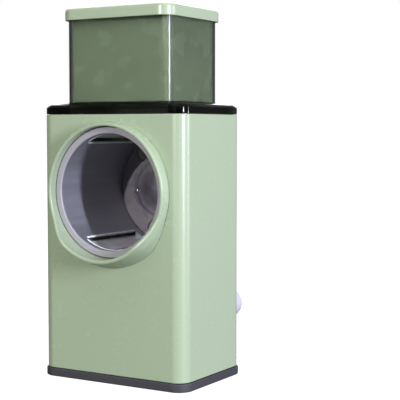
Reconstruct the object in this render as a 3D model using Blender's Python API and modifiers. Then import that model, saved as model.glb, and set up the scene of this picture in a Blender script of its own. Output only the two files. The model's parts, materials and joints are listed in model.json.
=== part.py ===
"""Rotary cheese grater: a table-top drum grater with a hopper, a pusher and a rear crank.

Frame: origin at the centre of the footprint on the worktop, +Z up, the outlet faces -Y.
The drum, its shaft and the crank turn about a line along Y at the height AXIS_Z.
All lengths are in metres.
"""
import math

import bmesh
import bpy
from mathutils import Vector

# ---- driving dimensions ----
GAP = 0.0003                    # space left between pieces that touch

BODY_WIDTH = 0.128              # along X
BODY_DEPTH = 0.085              # along Y
BODY_CORNER = 0.0103
BODY_WALL = 0.0026
BODY_TOP = 0.2005
SKIRT_HEIGHT = 0.0063           # the dark band under the housing
SKIRT_OVERHANG = 0.00125
TOTAL_HEIGHT = 0.280

AXIS_Z = 0.143                  # height of the drum and crank axis

FLANGE_HEIGHT = 0.008
FLANGE_SLOPE = 0.0028           # how far the flange's top falls towards its edge
FLANGE_SLOPE_RUN = 0.0062
HOPPER_WIDTH = 0.0936
HOPPER_DEPTH = 0.0698
HOPPER_CORNER = 0.0066
HOPPER_WALL = 0.0024
HOPPER_SHIFT = 0.001            # the hopper stands this far behind the body's centre
CAP_WIDTH = 0.098
CAP_DEPTH = 0.078
CAP_CORNER = 0.0104
CAP_HEIGHT = 0.0087
CAP_PLATE = 0.0028
PUSHER_SLACK = 0.0008           # running space between the pusher and the hopper, each side
PUSHER_BOTTOM = 0.2092

COLLAR_BORE = 0.0488            # radius of the outlet
COLLAR_RIM = 0.0515             # outer radius at the lip
COLLAR_ROOT = 0.0522            # outer radius at the housing, top and sides
COLLAR_ROOT_SWELL = 0.0042      # extra root radius under the spout
COLLAR_REACH = 0.0085           # how far the lip stands out, top and sides
SPOUT_REACH = 0.0085            # extra reach of the lip at the bottom
SPOUT_FULL_ANGLE = 36.0         # degrees either side of the bottom with the full reach
SPOUT_END_ANGLE = 73.0          # degrees either side of the bottom where the extra reach ends
SPIGOT_RADIUS = 0.0502

DRUM_INNER = 0.0435
DRUM_SHEET = 0.0012
DRUM_FRONT = -0.0430            # y of the drum sheet's front edge
DRUM_BACK = 0.0364              # y of the drum sheet's rear edge
RING_FRONT = -0.0450
RING_INNER = 0.0435
RING_OUTER = 0.0483
RING_SHOULDER = 0.0015          # how far the ring's outer face runs back past the sheet's edge
RING_SLEEVE = 0.0040            # how far its sleeve grips the outside of the sheet
RING_SLEEVE_WALL = 0.0016
LOUVRE_LIFT = 0.0030            # how far a blade's cutting edge stands off the drum
# Each louvre: the angle of its cutting edge about the axis (from +X towards +Z), and the
# degrees from there to where the blade meets the drum again.
LOUVRES = ((236.0, 51.0), (121.0, -51.0))
LOUVRE_FRONT = -0.0370
LOUVRE_BACK = 0.0280
BLADE_OVERLAP = 0.0004          # how far a blade runs past its window at each end
BLADE_END_WALL = 0.0012
PLATE_SHEET = 0.0010            # thickness of the end plate
PLATE_RIM = 0.0060              # depth of the flange that holds the plate in the drum
HAT_RADIUS = 0.0262             # the raised middle of the end plate, over the hub
HAT_FRONT = 0.0245              # y of the raised middle's face
DOME_RADIUS = 0.0205
DOME_HEIGHT = 0.0025
PLATE_HOLE = 0.0066             # radius of the three round holes in the end plate
PLATE_HOLE_PITCH = 0.0350
PLATE_HOLES = (10, 130, 250)    # degrees about the axis
RIVET_PITCH = 0.0215
RIVETS = (66, 186, 306)
RIVET_HOLE = 0.0012
HUB_RADIUS = 0.0236
HUB_BACK = 0.0340
HUB_NOSE = 0.0243
HUB_NOSE_RADIUS = 0.0075
SOCKET_DEPTH_Y = 0.0255         # y of the blind end of the hub's hexagonal socket
SOCKET_RADIUS = 0.0054

CHAMBER_SEAT = 0.0005           # space between the chamber's back and the rear wall
CHAMBER_INNER = 0.0491
CHAMBER_OUTER = 0.0516
CHAMBER_BACK_WALL = 0.0020

SHAFT_RADIUS = 0.0060
BUSH_BORE = 0.0061
BUSH_RADIUS = 0.0090
CRANK_RADIUS = 0.1055
ARM_FRONT = 0.0465
ARM_THICKNESS = 0.0085
GRIP_RADIUS = 0.0125
GRIP_END = 0.1435

LEVER_Z = 0.0240
CAM_THROW = 0.0030

SEGMENTS = 48                   # sides of the large round parts

FRONT_Y = -BODY_DEPTH / 2
REAR_Y = BODY_DEPTH / 2
INNER_FRONT_Y = FRONT_Y + BODY_WALL
INNER_REAR_Y = REAR_Y - BODY_WALL
INNER_WIDTH = BODY_WIDTH - 2 * BODY_WALL
INNER_DEPTH = BODY_DEPTH - 2 * BODY_WALL
INNER_CORNER = BODY_CORNER - BODY_WALL
FLANGE_TOP = BODY_TOP + FLANGE_HEIGHT
CAP_BOTTOM = TOTAL_HEIGHT - CAP_HEIGHT
HOPPER_TOP = TOTAL_HEIGHT - CAP_PLATE - GAP
POST_X = 0.0545
POST_Y = 0.0330
PLATE_BOTTOM = 0.0110           # underside of the base plate
PLATE_TOP = 0.0150
CHAMBER_SCREW_PITCH = 0.0300
CHAMBER_SCREWS = (45, 135, 225, 315)
CORNERS = ((1, 1), (1, -1), (-1, 1), (-1, -1))
POST_RADIUS = 0.008
POST_TOP = 0.034
PILOT_RADIUS = 0.0018           # screw holes in the posts and the base plate
CAM_BORE = 0.0064               # clearance holes for the cam shaft
SKIRT_OPENING = (0.106, 0.070, 0.012)


# ---- scene and materials ----
def clear_scene():
    for obj in list(bpy.data.objects):
        bpy.data.objects.remove(obj, do_unlink=True)


def new_collection(name):
    collection = bpy.data.collections.new(name)
    bpy.context.scene.collection.children.link(collection)
    return collection


clear_scene()
PARTS = new_collection("rotary_cheese_grater")
CUTTERS = new_collection("cutters")


def material(name, colour, roughness, metallic=0.0):
    mat = bpy.data.materials.new(name)
    mat.use_nodes = True
    shader = mat.node_tree.nodes["Principled BSDF"]
    shader.inputs["Base Color"].default_value = (*colour, 1.0)
    shader.inputs["Roughness"].default_value = roughness
    shader.inputs["Metallic"].default_value = metallic
    return mat


def shell_green():
    return material("sage_plastic", (0.38, 0.50, 0.35), 0.22)


def hopper_green():
    return material("smoked_green_plastic", (0.07, 0.10, 0.06), 0.08)


def dark_rubber():
    return material("dark_rubber", (0.035, 0.036, 0.042), 0.6)


def grey_plastic():
    return material("grey_plastic", (0.48, 0.48, 0.52), 0.35)


def steel():
    return material("steel", (0.42, 0.41, 0.44), 0.22, 1.0)


def white_plastic():
    return material("white_plastic", (0.75, 0.75, 0.80), 0.3)


def brass():
    return material("bronze", (0.50, 0.34, 0.16), 0.35, 1.0)


# ---- building tools ----
def add_mesh(bm, name, mat, collection=None):
    mesh = bpy.data.meshes.new(name)
    bm.to_mesh(mesh)
    bm.free()
    obj = bpy.data.objects.new(name, mesh)
    (collection or PARTS).objects.link(obj)
    if mat:
        mesh.materials.append(mat)
    mesh.shade_smooth()
    mesh.set_sharp_from_angle(angle=math.radians(32))
    return obj


def rounded_block(name, width, depth, low, high, corner, mat, centre=(0.0, 0.0), segments=6,
                  collection=None):
    """An upright block with rounded vertical edges, from z=low to z=high."""
    bm = bmesh.new()
    bmesh.ops.create_cube(bm, size=1.0)
    bmesh.ops.scale(bm, vec=(width, depth, high - low), verts=bm.verts)
    upright = [e for e in bm.edges if abs((e.verts[0].co - e.verts[1].co).z) > 1e-6]
    if corner > 0:
        bmesh.ops.bevel(bm, geom=upright, offset=corner, segments=segments, profile=0.5,
                        affect="EDGES")
    bmesh.ops.translate(bm, vec=(centre[0], centre[1], (low + high) / 2), verts=bm.verts)
    return add_mesh(bm, name, mat, collection)


def block(name, size, centre, mat, collection=None):
    bm = bmesh.new()
    bmesh.ops.create_cube(bm, size=1.0)
    bmesh.ops.scale(bm, vec=size, verts=bm.verts)
    bmesh.ops.translate(bm, vec=centre, verts=bm.verts)
    return add_mesh(bm, name, mat, collection)


def face_along(obj, direction, centre):
    """Place an object whose own +Z is to point along a world direction."""
    obj.rotation_mode = "QUATERNION"
    obj.rotation_quaternion = Vector((0, 0, 1)).rotation_difference(Vector(direction))
    obj.location = centre
    return obj


def rod(name, radius, start, end, direction, centre, mat, sides=24, collection=None):
    """A cylinder from start to end, measured along direction from centre."""
    bm = bmesh.new()
    bmesh.ops.create_cone(bm, cap_ends=True, segments=sides, radius1=radius, radius2=radius,
                          depth=end - start)
    bmesh.ops.translate(bm, vec=(0, 0, (start + end) / 2), verts=bm.verts)
    return face_along(add_mesh(bm, name, mat, collection), direction, centre)


def turned(name, profile, direction, centre, mat, steps=SEGMENTS, closed=True, collection=None):
    """A turned piece. The profile is (radius, height) pairs, down the outer side first."""
    mesh = bpy.data.meshes.new(name)
    points = [(radius, 0.0, height) for radius, height in profile]
    edges = [(i, i + 1) for i in range(len(points) - 1)]
    if closed:
        edges.append((len(points) - 1, 0))
    mesh.from_pydata(points, edges, [])
    obj = bpy.data.objects.new(name, mesh)
    (collection or PARTS).objects.link(obj)
    screw = obj.modifiers.new("turn", "SCREW")
    screw.steps = steps
    screw.render_steps = steps
    screw.use_merge_vertices = True
    screw.merge_threshold = 0.00001
    screw.use_smooth_shade = False
    if mat:
        mesh.materials.append(mat)
    return face_along(obj, direction, centre)


def as_cutter(obj):
    obj.hide_render = True
    obj.display_type = "WIRE"
    return obj


def cut(obj, cutter, operation="DIFFERENCE"):
    as_cutter(cutter)
    boolean = obj.modifiers.new(operation.lower() + "_" + cutter.name, "BOOLEAN")
    boolean.operation = operation
    boolean.solver = "EXACT"
    boolean.object = cutter
    return obj


def join(obj, other):
    return cut(obj, other, "UNION")


def bore(obj, radius, start, end, direction, centre, sides=24):
    hole = rod("bore_" + obj.name, radius, start, end, direction, centre, None, sides, CUTTERS)
    return cut(obj, hole)


def on_axis(y=0.0):
    return (0.0, y, AXIS_Z)


def polar(radius, degrees, y):
    angle = math.radians(degrees)
    return (radius * math.cos(angle), y, AXIS_Z + radius * math.sin(angle))


def arc(centre, radius, start, end, count):
    """Points on an arc in the XY plane, angles in degrees."""
    points = []
    for i in range(count + 1):
        angle = math.radians(start + (end - start) * i / count)
        points.append((centre[0] + radius * math.cos(angle), centre[1] + radius * math.sin(angle)))
    return points


def plate_from_outline(name, outline, thickness, mat, collection=None):
    """A flat plate: a filled 2D curve through the outline, extruded and turned into a mesh."""
    curve = bpy.data.curves.new(name + "_outline", "CURVE")
    curve.dimensions = "2D"
    curve.fill_mode = "BOTH"
    curve.extrude = thickness / 2
    spline = curve.splines.new("POLY")
    spline.points.add(len(outline) - 1)
    for point, (x, y) in zip(spline.points, outline):
        point.co = (x, y, 0.0, 1.0)
    spline.use_cyclic_u = True
    source = bpy.data.objects.new(name + "_curve", curve)
    PARTS.objects.link(source)
    evaluated = source.evaluated_get(bpy.context.evaluated_depsgraph_get())
    mesh = bpy.data.meshes.new_from_object(evaluated)
    bpy.data.objects.remove(source, do_unlink=True)
    bm = bmesh.new()
    bm.from_mesh(mesh)
    bmesh.ops.remove_doubles(bm, verts=bm.verts, dist=0.00001)
    bmesh.ops.recalc_face_normals(bm, faces=bm.faces)
    return add_mesh(bm, name, mat, collection)


ALONG_Y = (0, 1, 0)
ALONG_X = (1, 0, 0)
UP = (0, 0, 1)


def smooth_step(value):
    value = min(max(value, 0.0), 1.0)
    return value * value * (3 - 2 * value)


def spout(degrees):
    """How much of the spout's extra reach applies at an angle about the axis, 0 to 1."""
    from_bottom = abs((degrees - 270.0 + 180.0) % 360.0 - 180.0)
    return smooth_step((SPOUT_END_ANGLE - from_bottom) / (SPOUT_END_ANGLE - SPOUT_FULL_ANGLE))


# ---- housing ----
def make_housing_shell():
    low = SKIRT_HEIGHT + GAP
    shell = rounded_block("housing_shell", BODY_WIDTH, BODY_DEPTH, low, BODY_TOP, BODY_CORNER,
                          shell_green())
    cut(shell, rounded_block("housing_hollow", INNER_WIDTH, INNER_DEPTH, low - 0.01,
                             BODY_TOP + 0.01, INNER_CORNER, None, collection=CUTTERS))
    post_low = PLATE_TOP + GAP
    for i, (sx, sy) in enumerate(CORNERS):
        post = rod("housing_post_%d" % i, POST_RADIUS, post_low, POST_TOP, UP,
                   (sx * POST_X, sy * POST_Y, 0), None, 16, CUTTERS)
        join(shell, post)
        bore(shell, PILOT_RADIUS, post_low - 0.002, 0.030, UP, (sx * POST_X, sy * POST_Y, 0), 12)
    bore(shell, SPIGOT_RADIUS + GAP, FRONT_Y - 0.01, INNER_FRONT_Y + 0.004, ALONG_Y, on_axis(),
         SEGMENTS)
    bore(shell, BUSH_RADIUS + GAP, INNER_REAR_Y - 0.01, REAR_Y + 0.01, ALONG_Y, on_axis())
    for degrees in CHAMBER_SCREWS:
        bore(shell, 0.0019, INNER_REAR_Y - 0.01, REAR_Y + 0.01, ALONG_Y,
             polar(CHAMBER_SCREW_PITCH, degrees, 0), 12)
    bore(shell, CAM_BORE, -BODY_WIDTH / 2 - 0.01, -BODY_WIDTH / 2 + 0.01, ALONG_X,
         (0, 0, LEVER_Z))
    return shell


def make_outlet_collar():
    """A sleeve whose outer side is a cone primitive with each ring pushed to the spout's shape."""
    bm = bmesh.new()
    bmesh.ops.create_cone(bm, cap_ends=True, segments=SEGMENTS, radius1=COLLAR_RIM,
                          radius2=COLLAR_ROOT, depth=COLLAR_REACH)
    for vert in bm.verts:
        at_rim = vert.co.z < 0
        degrees = math.degrees(math.atan2(-vert.co.y, vert.co.x))
        extra = spout(degrees)
        if at_rim:
            vert.co.z = FRONT_Y - COLLAR_REACH - SPOUT_REACH * extra
        else:
            scale = (COLLAR_ROOT + COLLAR_ROOT_SWELL * extra) / COLLAR_ROOT
            vert.co.x *= scale
            vert.co.y *= scale
            vert.co.z = FRONT_Y - GAP
    collar = face_along(add_mesh(bm, "outlet_collar", shell_green()), ALONG_Y, on_axis())
    join(collar, rod("collar_spigot", SPIGOT_RADIUS, FRONT_Y - 0.002, INNER_FRONT_Y, ALONG_Y,
                     on_axis(), None, SEGMENTS, CUTTERS))
    bore(collar, COLLAR_BORE, FRONT_Y - 0.03, 0.0, ALONG_Y, on_axis(), SEGMENTS)
    return collar


def make_drum_chamber():
    front = INNER_FRONT_Y + GAP
    back = INNER_REAR_Y - CHAMBER_SEAT
    floor = back - CHAMBER_BACK_WALL
    profile = [(CHAMBER_OUTER, back), (CHAMBER_OUTER, front), (CHAMBER_INNER, front),
               (CHAMBER_INNER, floor), (BUSH_RADIUS + GAP, floor), (BUSH_RADIUS + GAP, back)]
    chamber = turned("drum_chamber", profile, ALONG_Y, on_axis(), shell_green())
    inner = HOPPER_WALL * 2
    window = block("chamber_window", (HOPPER_WIDTH - inner, HOPPER_DEPTH - inner, 0.06),
                   (0, HOPPER_SHIFT, 0.155 + 0.03), None, CUTTERS)
    cut(chamber, window)
    for degrees in CHAMBER_SCREWS:
        bore(chamber, 0.0017, floor - 0.01, back + 0.01, ALONG_Y,
             polar(CHAMBER_SCREW_PITCH, degrees, 0), 12)
    return chamber


def make_screw(name, head_radius, head_height, shank_radius, length, direction, centre, mat):
    """A pan-head screw: the head from 0 to head_height along direction, the shank behind it."""
    profile = [(0.0, head_height), (head_radius * 0.75, head_height),
               (head_radius, head_height * 0.45), (head_radius, 0.0), (shank_radius, 0.0),
               (shank_radius, -length), (0.0, -length)]
    return turned(name, profile, direction, centre, mat, 12, closed=False)


def make_chamber_screws():
    for i, degrees in enumerate(CHAMBER_SCREWS):
        make_screw("chamber_screw_%d" % (i + 1), 0.0034, 0.0018, 0.0014, 0.0054, ALONG_Y,
                   polar(CHAMBER_SCREW_PITCH, degrees, REAR_Y + GAP), steel())


def make_shaft_bushing():
    profile = [(0.0130, REAR_Y + GAP + 0.0020), (0.0130, REAR_Y + GAP), (BUSH_RADIUS, REAR_Y + GAP),
               (BUSH_RADIUS, 0.0358), (BUSH_BORE, 0.0358), (BUSH_BORE, REAR_Y + GAP + 0.0020)]
    return turned("shaft_bushing", profile, ALONG_Y, on_axis(), brass(), 32)


# ---- base ----
def make_base_plate():
    plate = rounded_block("base_plate", INNER_WIDTH - 2 * GAP, INNER_DEPTH - 2 * GAP, PLATE_BOTTOM,
                          PLATE_TOP, INNER_CORNER - GAP, dark_rubber())
    lug = block("base_lug", (0.006, 0.020, 0.022), (-0.022, 0.0, PLATE_TOP + 0.009), None, CUTTERS)
    join(plate, lug)
    bore(plate, CAM_BORE, -0.035, -0.010, ALONG_X, (0, 0, LEVER_Z))
    bore(plate, 0.0086, 0.0, 0.020, UP, (0, 0, 0))
    for sx, sy in CORNERS:
        bore(plate, PILOT_RADIUS, 0.0, 0.020, UP, (sx * POST_X, sy * POST_Y, 0), 12)
    return plate


def make_base_skirt():
    skirt = rounded_block("base_skirt", BODY_WIDTH + 2 * SKIRT_OVERHANG,
                          BODY_DEPTH + 2 * SKIRT_OVERHANG, 0.0, SKIRT_HEIGHT,
                          BODY_CORNER + SKIRT_OVERHANG, dark_rubber())
    lip_width = INNER_WIDTH - 2 * GAP
    lip_depth = INNER_DEPTH - 2 * GAP
    join(skirt, rounded_block("skirt_lip", lip_width, lip_depth, SKIRT_HEIGHT - 0.002,
                              PLATE_BOTTOM - GAP, INNER_CORNER - GAP, None, collection=CUTTERS))
    cut(skirt, rounded_block("skirt_well", lip_width - 0.0032, lip_depth - 0.0032, SKIRT_HEIGHT,
                             0.02, INNER_CORNER - 0.0019, None, collection=CUTTERS))
    cut(skirt, rounded_block("skirt_opening", SKIRT_OPENING[0], SKIRT_OPENING[1], -0.01, 0.02,
                             SKIRT_OPENING[2], None, collection=CUTTERS))
    for sx, sy in CORNERS:
        bore(skirt, 0.0040, -0.01, SKIRT_HEIGHT + 0.002, UP, (sx * POST_X, sy * POST_Y, 0), 16)
    return skirt


def make_base_screws():
    for i, (sx, sy) in enumerate(CORNERS):
        make_screw("base_screw_%d" % (i + 1), 0.0030, 0.0020, 0.0014, 0.0150, (0, 0, -1),
                   (sx * POST_X, sy * POST_Y, PLATE_BOTTOM - GAP), steel())


def make_suction_pad():
    profile = [(0.0, 0.0060), (0.0110, 0.0060), (0.0120, 0.0050), (0.0125, 0.0030),
               (0.0310, 0.0022), (0.0330, 0.0008), (0.0330, 0.0), (0.0, 0.0)]
    return turned("suction_pad", profile, UP, (0, 0, 0), dark_rubber(), 32, closed=False)


def make_pull_stem():
    stem = rod("pull_stem", 0.0080, 0.0063, 0.0175, UP, (0, 0, 0), grey_plastic(), 24)
    join(stem, block("stem_block", (0.012, 0.019, 0.018), (0, 0.0015, 0.0250), None, CUTTERS))
    slot_low = LEVER_Z - 0.0028
    slot_high = LEVER_Z + 0.0033
    slot = block("stem_slot", (0.03, 0.0130, slot_high - slot_low),
                 (0, 0.0015, (slot_low + slot_high) / 2), None, CUTTERS)
    return cut(stem, slot)


def make_cam_shaft():
    shaft = rod("cam_shaft", 0.0060, -0.0705, -0.0100, ALONG_X, (0, 0, LEVER_Z), steel(), 32)
    pin = rod("cam_pin", 0.0025, -0.0120, 0.0080, ALONG_X, (0, CAM_THROW, LEVER_Z), None, 16,
              CUTTERS)
    return join(shaft, pin)


def make_cam_clip():
    x = -0.0180
    profile = [(0.0085, 0.0006), (0.0085, -0.0006), (0.0064, -0.0006), (0.0064, 0.0006)]
    return turned("cam_clip", profile, ALONG_X, (x, 0, LEVER_Z), steel(), 24)


def make_suction_lever():
    """A flat paddle on the left side, pointing back at rest, on the cam shaft's end."""
    hub = 0.0105
    tip = 0.0070
    reach = 0.0300
    outline = arc((0, 0), hub, 90, 270, 12) + arc((reach, 0), tip, -90, 90, 10)
    lever = plate_from_outline("suction_lever", outline, 0.0062, dark_rubber())
    lever.rotation_euler = (math.radians(90), 0, math.radians(90))
    lever.location = (-BODY_WIDTH / 2 - 0.0040, 0, LEVER_Z)
    bore(lever, 0.0063, -0.0710, -0.0600, ALONG_X, (0, 0, LEVER_Z), 32)
    return lever


# ---- hopper and pusher ----
def slope_edges(obj, top):
    """Insets the top face of a block, and lowers what was its edge."""
    bm = bmesh.new()
    bm.from_mesh(obj.data)
    bm.faces.ensure_lookup_table()
    lid = [f for f in bm.faces if all(v.co.z > top - 1e-6 for v in f.verts)]
    edge = [v for v in bm.verts if v.co.z > top - 1e-6]
    bmesh.ops.inset_region(bm, faces=lid, thickness=FLANGE_SLOPE_RUN, use_even_offset=True)
    for vert in edge:
        vert.co.z = top - FLANGE_SLOPE
    bm.to_mesh(obj.data)
    bm.free()


def make_hopper():
    hopper = rounded_block("hopper", BODY_WIDTH, BODY_DEPTH, BODY_TOP + GAP, FLANGE_TOP,
                           BODY_CORNER, hopper_green())
    slope_edges(hopper, FLANGE_TOP)
    rim_width = INNER_WIDTH - 2 * GAP
    rim_depth = INNER_DEPTH - 2 * GAP
    rim = rounded_block("hopper_rim", rim_width, rim_depth, BODY_TOP - 0.004, BODY_TOP + 0.002,
                        INNER_CORNER - GAP, None, collection=CUTTERS)
    join(hopper, rim)
    well = rounded_block("hopper_rim_well", rim_width - 0.004, rim_depth - 0.004,
                         BODY_TOP - 0.006, BODY_TOP + GAP, INNER_CORNER - GAP - 0.002, None,
                         collection=CUTTERS)
    cut(hopper, well)
    shift = (0.0, HOPPER_SHIFT)
    chute = rounded_block("hopper_chute", HOPPER_WIDTH, HOPPER_DEPTH, 0.150, HOPPER_TOP,
                          HOPPER_CORNER, None, shift, collection=CUTTERS)
    join(hopper, chute)
    inner = rounded_block("hopper_throat", HOPPER_WIDTH - 2 * HOPPER_WALL,
                          HOPPER_DEPTH - 2 * HOPPER_WALL, 0.14, 0.30,
                          HOPPER_CORNER - HOPPER_WALL, None, shift, collection=CUTTERS)
    cut(hopper, inner)
    bore(hopper, CHAMBER_OUTER + 2 * GAP, -0.06, 0.06, ALONG_Y, on_axis(), SEGMENTS)
    return hopper


def make_pusher_cap():
    shift = (0.0, HOPPER_SHIFT)
    cap = rounded_block("pusher_cap", CAP_WIDTH, CAP_DEPTH, CAP_BOTTOM, TOTAL_HEIGHT, CAP_CORNER,
                        shell_green(), shift)
    top = cap.data
    bm = bmesh.new()
    bm.from_mesh(top)
    rim = [e for e in bm.edges if all(v.co.z > TOTAL_HEIGHT - 1e-6 for v in e.verts)]
    bmesh.ops.bevel(bm, geom=rim, offset=0.0022, segments=3, profile=0.5, affect="EDGES",
                    clamp_overlap=True)
    bm.to_mesh(top)
    bm.free()
    wall = 0.0018
    cut(cap, rounded_block("cap_hollow", CAP_WIDTH - 2 * wall, CAP_DEPTH - 2 * wall,
                           CAP_BOTTOM - 0.01, TOTAL_HEIGHT - CAP_PLATE, CAP_CORNER - wall, None,
                           shift, collection=CUTTERS))
    return cap


def make_pusher_body():
    shift = (0.0, HOPPER_SHIFT)
    width = HOPPER_WIDTH - 2 * HOPPER_WALL - 2 * PUSHER_SLACK
    depth = HOPPER_DEPTH - 2 * HOPPER_WALL - 2 * PUSHER_SLACK
    corner = HOPPER_CORNER - HOPPER_WALL - 0.0006
    top = TOTAL_HEIGHT - CAP_PLATE - GAP
    body = rounded_block("pusher_body", width, depth, PUSHER_BOTTOM, top, corner, shell_green(),
                         shift)
    cut(body, rounded_block("pusher_hollow", width - 0.004, depth - 0.004, PUSHER_BOTTOM + 0.0025,
                            top + 0.01, corner - 0.002, None, shift, collection=CUTTERS))
    return body


# ---- drum ----
def louvre_outline(start, span, count=8):
    """The blade's section: it starts clear of the drum at the cutting edge and slopes back in."""
    outer = []
    inner = []
    for i in range(count + 1):
        share = i / count
        angle = math.radians(start + span * share)
        radius = DRUM_INNER + DRUM_SHEET + LOUVRE_LIFT * math.cos(share * math.pi / 2)
        outer.append((radius * math.cos(angle), radius * math.sin(angle)))
        radius -= DRUM_SHEET
        inner.append((radius * math.cos(angle), radius * math.sin(angle)))
    return outer + inner[::-1]


def window_outline(start, span):
    """A sector across the drum sheet, from just before the cutting edge to near the blade's root."""
    step = math.copysign(1.0, span)
    angles = [math.radians(a) for a in (start - 2 * step, start + span / 2, start + span - 3 * step)]
    inner = [(0.030 * math.cos(a), 0.030 * math.sin(a)) for a in angles]
    outer = [(0.060 * math.cos(a), 0.060 * math.sin(a)) for a in angles]
    return inner + outer[::-1]


def crescent_outline(start, span, count=8):
    """The end wall of a blade: from inside the drum sheet out to the blade's outer side."""
    outer = []
    inner = []
    for i in range(count + 1):
        share = i / count
        angle = math.radians(start + span * share)
        radius = DRUM_INNER + DRUM_SHEET + LOUVRE_LIFT * math.cos(share * math.pi / 2)
        outer.append((radius * math.cos(angle), radius * math.sin(angle)))
        base = DRUM_INNER + 0.0002
        inner.append((base * math.cos(angle), base * math.sin(angle)))
    return outer + inner[::-1]


def stand_up(obj, y):
    """Turn a plate drawn in the XY plane to stand in the XZ plane on the drum axis."""
    obj.rotation_euler = (math.radians(90), 0, 0)
    obj.location = on_axis(y)
    return obj


def make_drum_shell():
    outer = DRUM_INNER + DRUM_SHEET
    profile = [(outer, DRUM_BACK), (outer, DRUM_FRONT), (DRUM_INNER, DRUM_FRONT),
               (DRUM_INNER, DRUM_BACK)]
    shell = turned("drum_shell", profile, ALONG_Y, on_axis(), steel())
    middle = (LOUVRE_FRONT + LOUVRE_BACK) / 2
    length = LOUVRE_BACK - LOUVRE_FRONT
    for i, (start, span) in enumerate(LOUVRES):
        window = plate_from_outline("drum_window_%d" % i, window_outline(start, span), length,
                                    None, CUTTERS)
        cut(shell, stand_up(window, middle))
        blade = plate_from_outline("drum_blade_%d" % i, louvre_outline(start, span),
                                   length + 2 * BLADE_OVERLAP, None, CUTTERS)
        join(shell, stand_up(blade, middle))
        for side, y in (("front", LOUVRE_FRONT), ("back", LOUVRE_BACK)):
            wall = plate_from_outline("blade_%s_%d" % (side, i), crescent_outline(start, span),
                                      BLADE_END_WALL, None, CUTTERS)
            join(shell, stand_up(wall, y))
    return shell


def make_drum_front_ring():
    inner = DRUM_INNER + DRUM_SHEET + GAP
    outer = inner + RING_SLEEVE_WALL
    shoulder = DRUM_FRONT + RING_SHOULDER
    end = DRUM_FRONT + RING_SLEEVE
    profile = [(RING_OUTER, shoulder), (RING_OUTER, RING_FRONT), (RING_INNER, RING_FRONT),
               (RING_INNER, DRUM_FRONT - GAP), (inner, DRUM_FRONT - GAP), (inner, end),
               (outer, end), (outer, shoulder)]
    return turned("drum_front_ring", profile, ALONG_Y, on_axis(), grey_plastic())


def dome_profile(offset):
    """A low bell from the rim of the dome to its middle: (radius, y) with y moved by offset."""
    points = []
    steps = 6
    for i in range(steps + 1):
        share = i / steps
        height = DOME_HEIGHT * (1 - math.cos(math.pi * share)) / 2
        points.append((DOME_RADIUS * (1 - share), HAT_FRONT - height + offset))
    return points


def make_drum_end_plate():
    """A flat plate with a flanged edge, and a raised hat with a low dome in its middle."""
    rim = DRUM_INNER - GAP
    face = DRUM_BACK - PLATE_SHEET
    front = [(rim, DRUM_BACK - PLATE_RIM), (rim - PLATE_SHEET, DRUM_BACK - PLATE_RIM),
             (rim - PLATE_SHEET, face), (HAT_RADIUS, face), (HAT_RADIUS, HAT_FRONT + PLATE_SHEET),
             (HAT_RADIUS - PLATE_SHEET, HAT_FRONT)]
    front += dome_profile(0.0)
    rear = dome_profile(PLATE_SHEET)[::-1]
    rear += [(HAT_RADIUS - PLATE_SHEET, HAT_FRONT + PLATE_SHEET),
             (HAT_RADIUS - PLATE_SHEET, DRUM_BACK), (rim, DRUM_BACK)]
    plate = turned("drum_end_plate", rear + front, ALONG_Y, on_axis(), steel(), closed=False)
    for degrees in PLATE_HOLES:
        bore(plate, PLATE_HOLE, 0.0, 0.05, ALONG_Y, polar(PLATE_HOLE_PITCH, degrees, 0))
    for degrees in RIVETS:
        bore(plate, RIVET_HOLE, 0.0, 0.05, ALONG_Y, polar(RIVET_PITCH, degrees, 0), 12)
    return plate


def make_drum_hub():
    front = HAT_FRONT + PLATE_SHEET + GAP
    profile = [(0.0, HUB_BACK), (HUB_RADIUS, HUB_BACK), (HUB_RADIUS, front), (0.0120, front),
               (HUB_NOSE_RADIUS, HUB_NOSE), (0.0, HUB_NOSE)]
    hub = turned("drum_hub", profile, ALONG_Y, on_axis(), grey_plastic(), 32, closed=False)
    socket = rod("hub_socket", SOCKET_RADIUS, SOCKET_DEPTH_Y, 0.05, ALONG_Y, on_axis(), None, 6, CUTTERS)
    cut(hub, socket)
    for degrees in RIVETS:
        bore(hub, RIVET_HOLE, 0.0, 0.05, ALONG_Y, polar(RIVET_PITCH, degrees, 0), 12)
    return hub


def make_drum_rivets():
    front = HAT_FRONT - GAP
    rear = HUB_BACK + GAP
    shank = RIVET_HOLE - 0.0002
    for i, degrees in enumerate(RIVETS):
        profile = [(0.0, front - 0.0008), (0.0012, front - 0.0007), (0.0019, front),
                   (shank, front), (shank, rear), (0.0019, rear), (0.0012, rear + 0.0006),
                   (0.0, rear + 0.0007)]
        turned("drum_rivet_%d" % (i + 1), profile[::-1], ALONG_Y, polar(RIVET_PITCH, degrees, 0),
               steel(), 12, closed=False)


# ---- crank ----
def make_drive_shaft():
    shaft = rod("drive_shaft", SHAFT_RADIUS, 0.0352, ARM_FRONT + ARM_THICKNESS, ALONG_Y, on_axis(),
                steel(), 32)
    join(shaft, rod("shaft_nose", 0.0052, 0.0262, 0.0360, ALONG_Y, on_axis(), None, 6, CUTTERS))
    bore(shaft, 0.0023, 0.0440, 0.0700, ALONG_Y, on_axis(), 16)
    return shaft


def make_thrust_washer():
    low = REAR_Y + GAP + 0.0020 + GAP
    profile = [(0.0110, ARM_FRONT - GAP), (0.0110, low), (0.0063, low), (0.0063, ARM_FRONT - GAP)]
    return turned("thrust_washer", profile, ALONG_Y, on_axis(), white_plastic(), 24)


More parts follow.
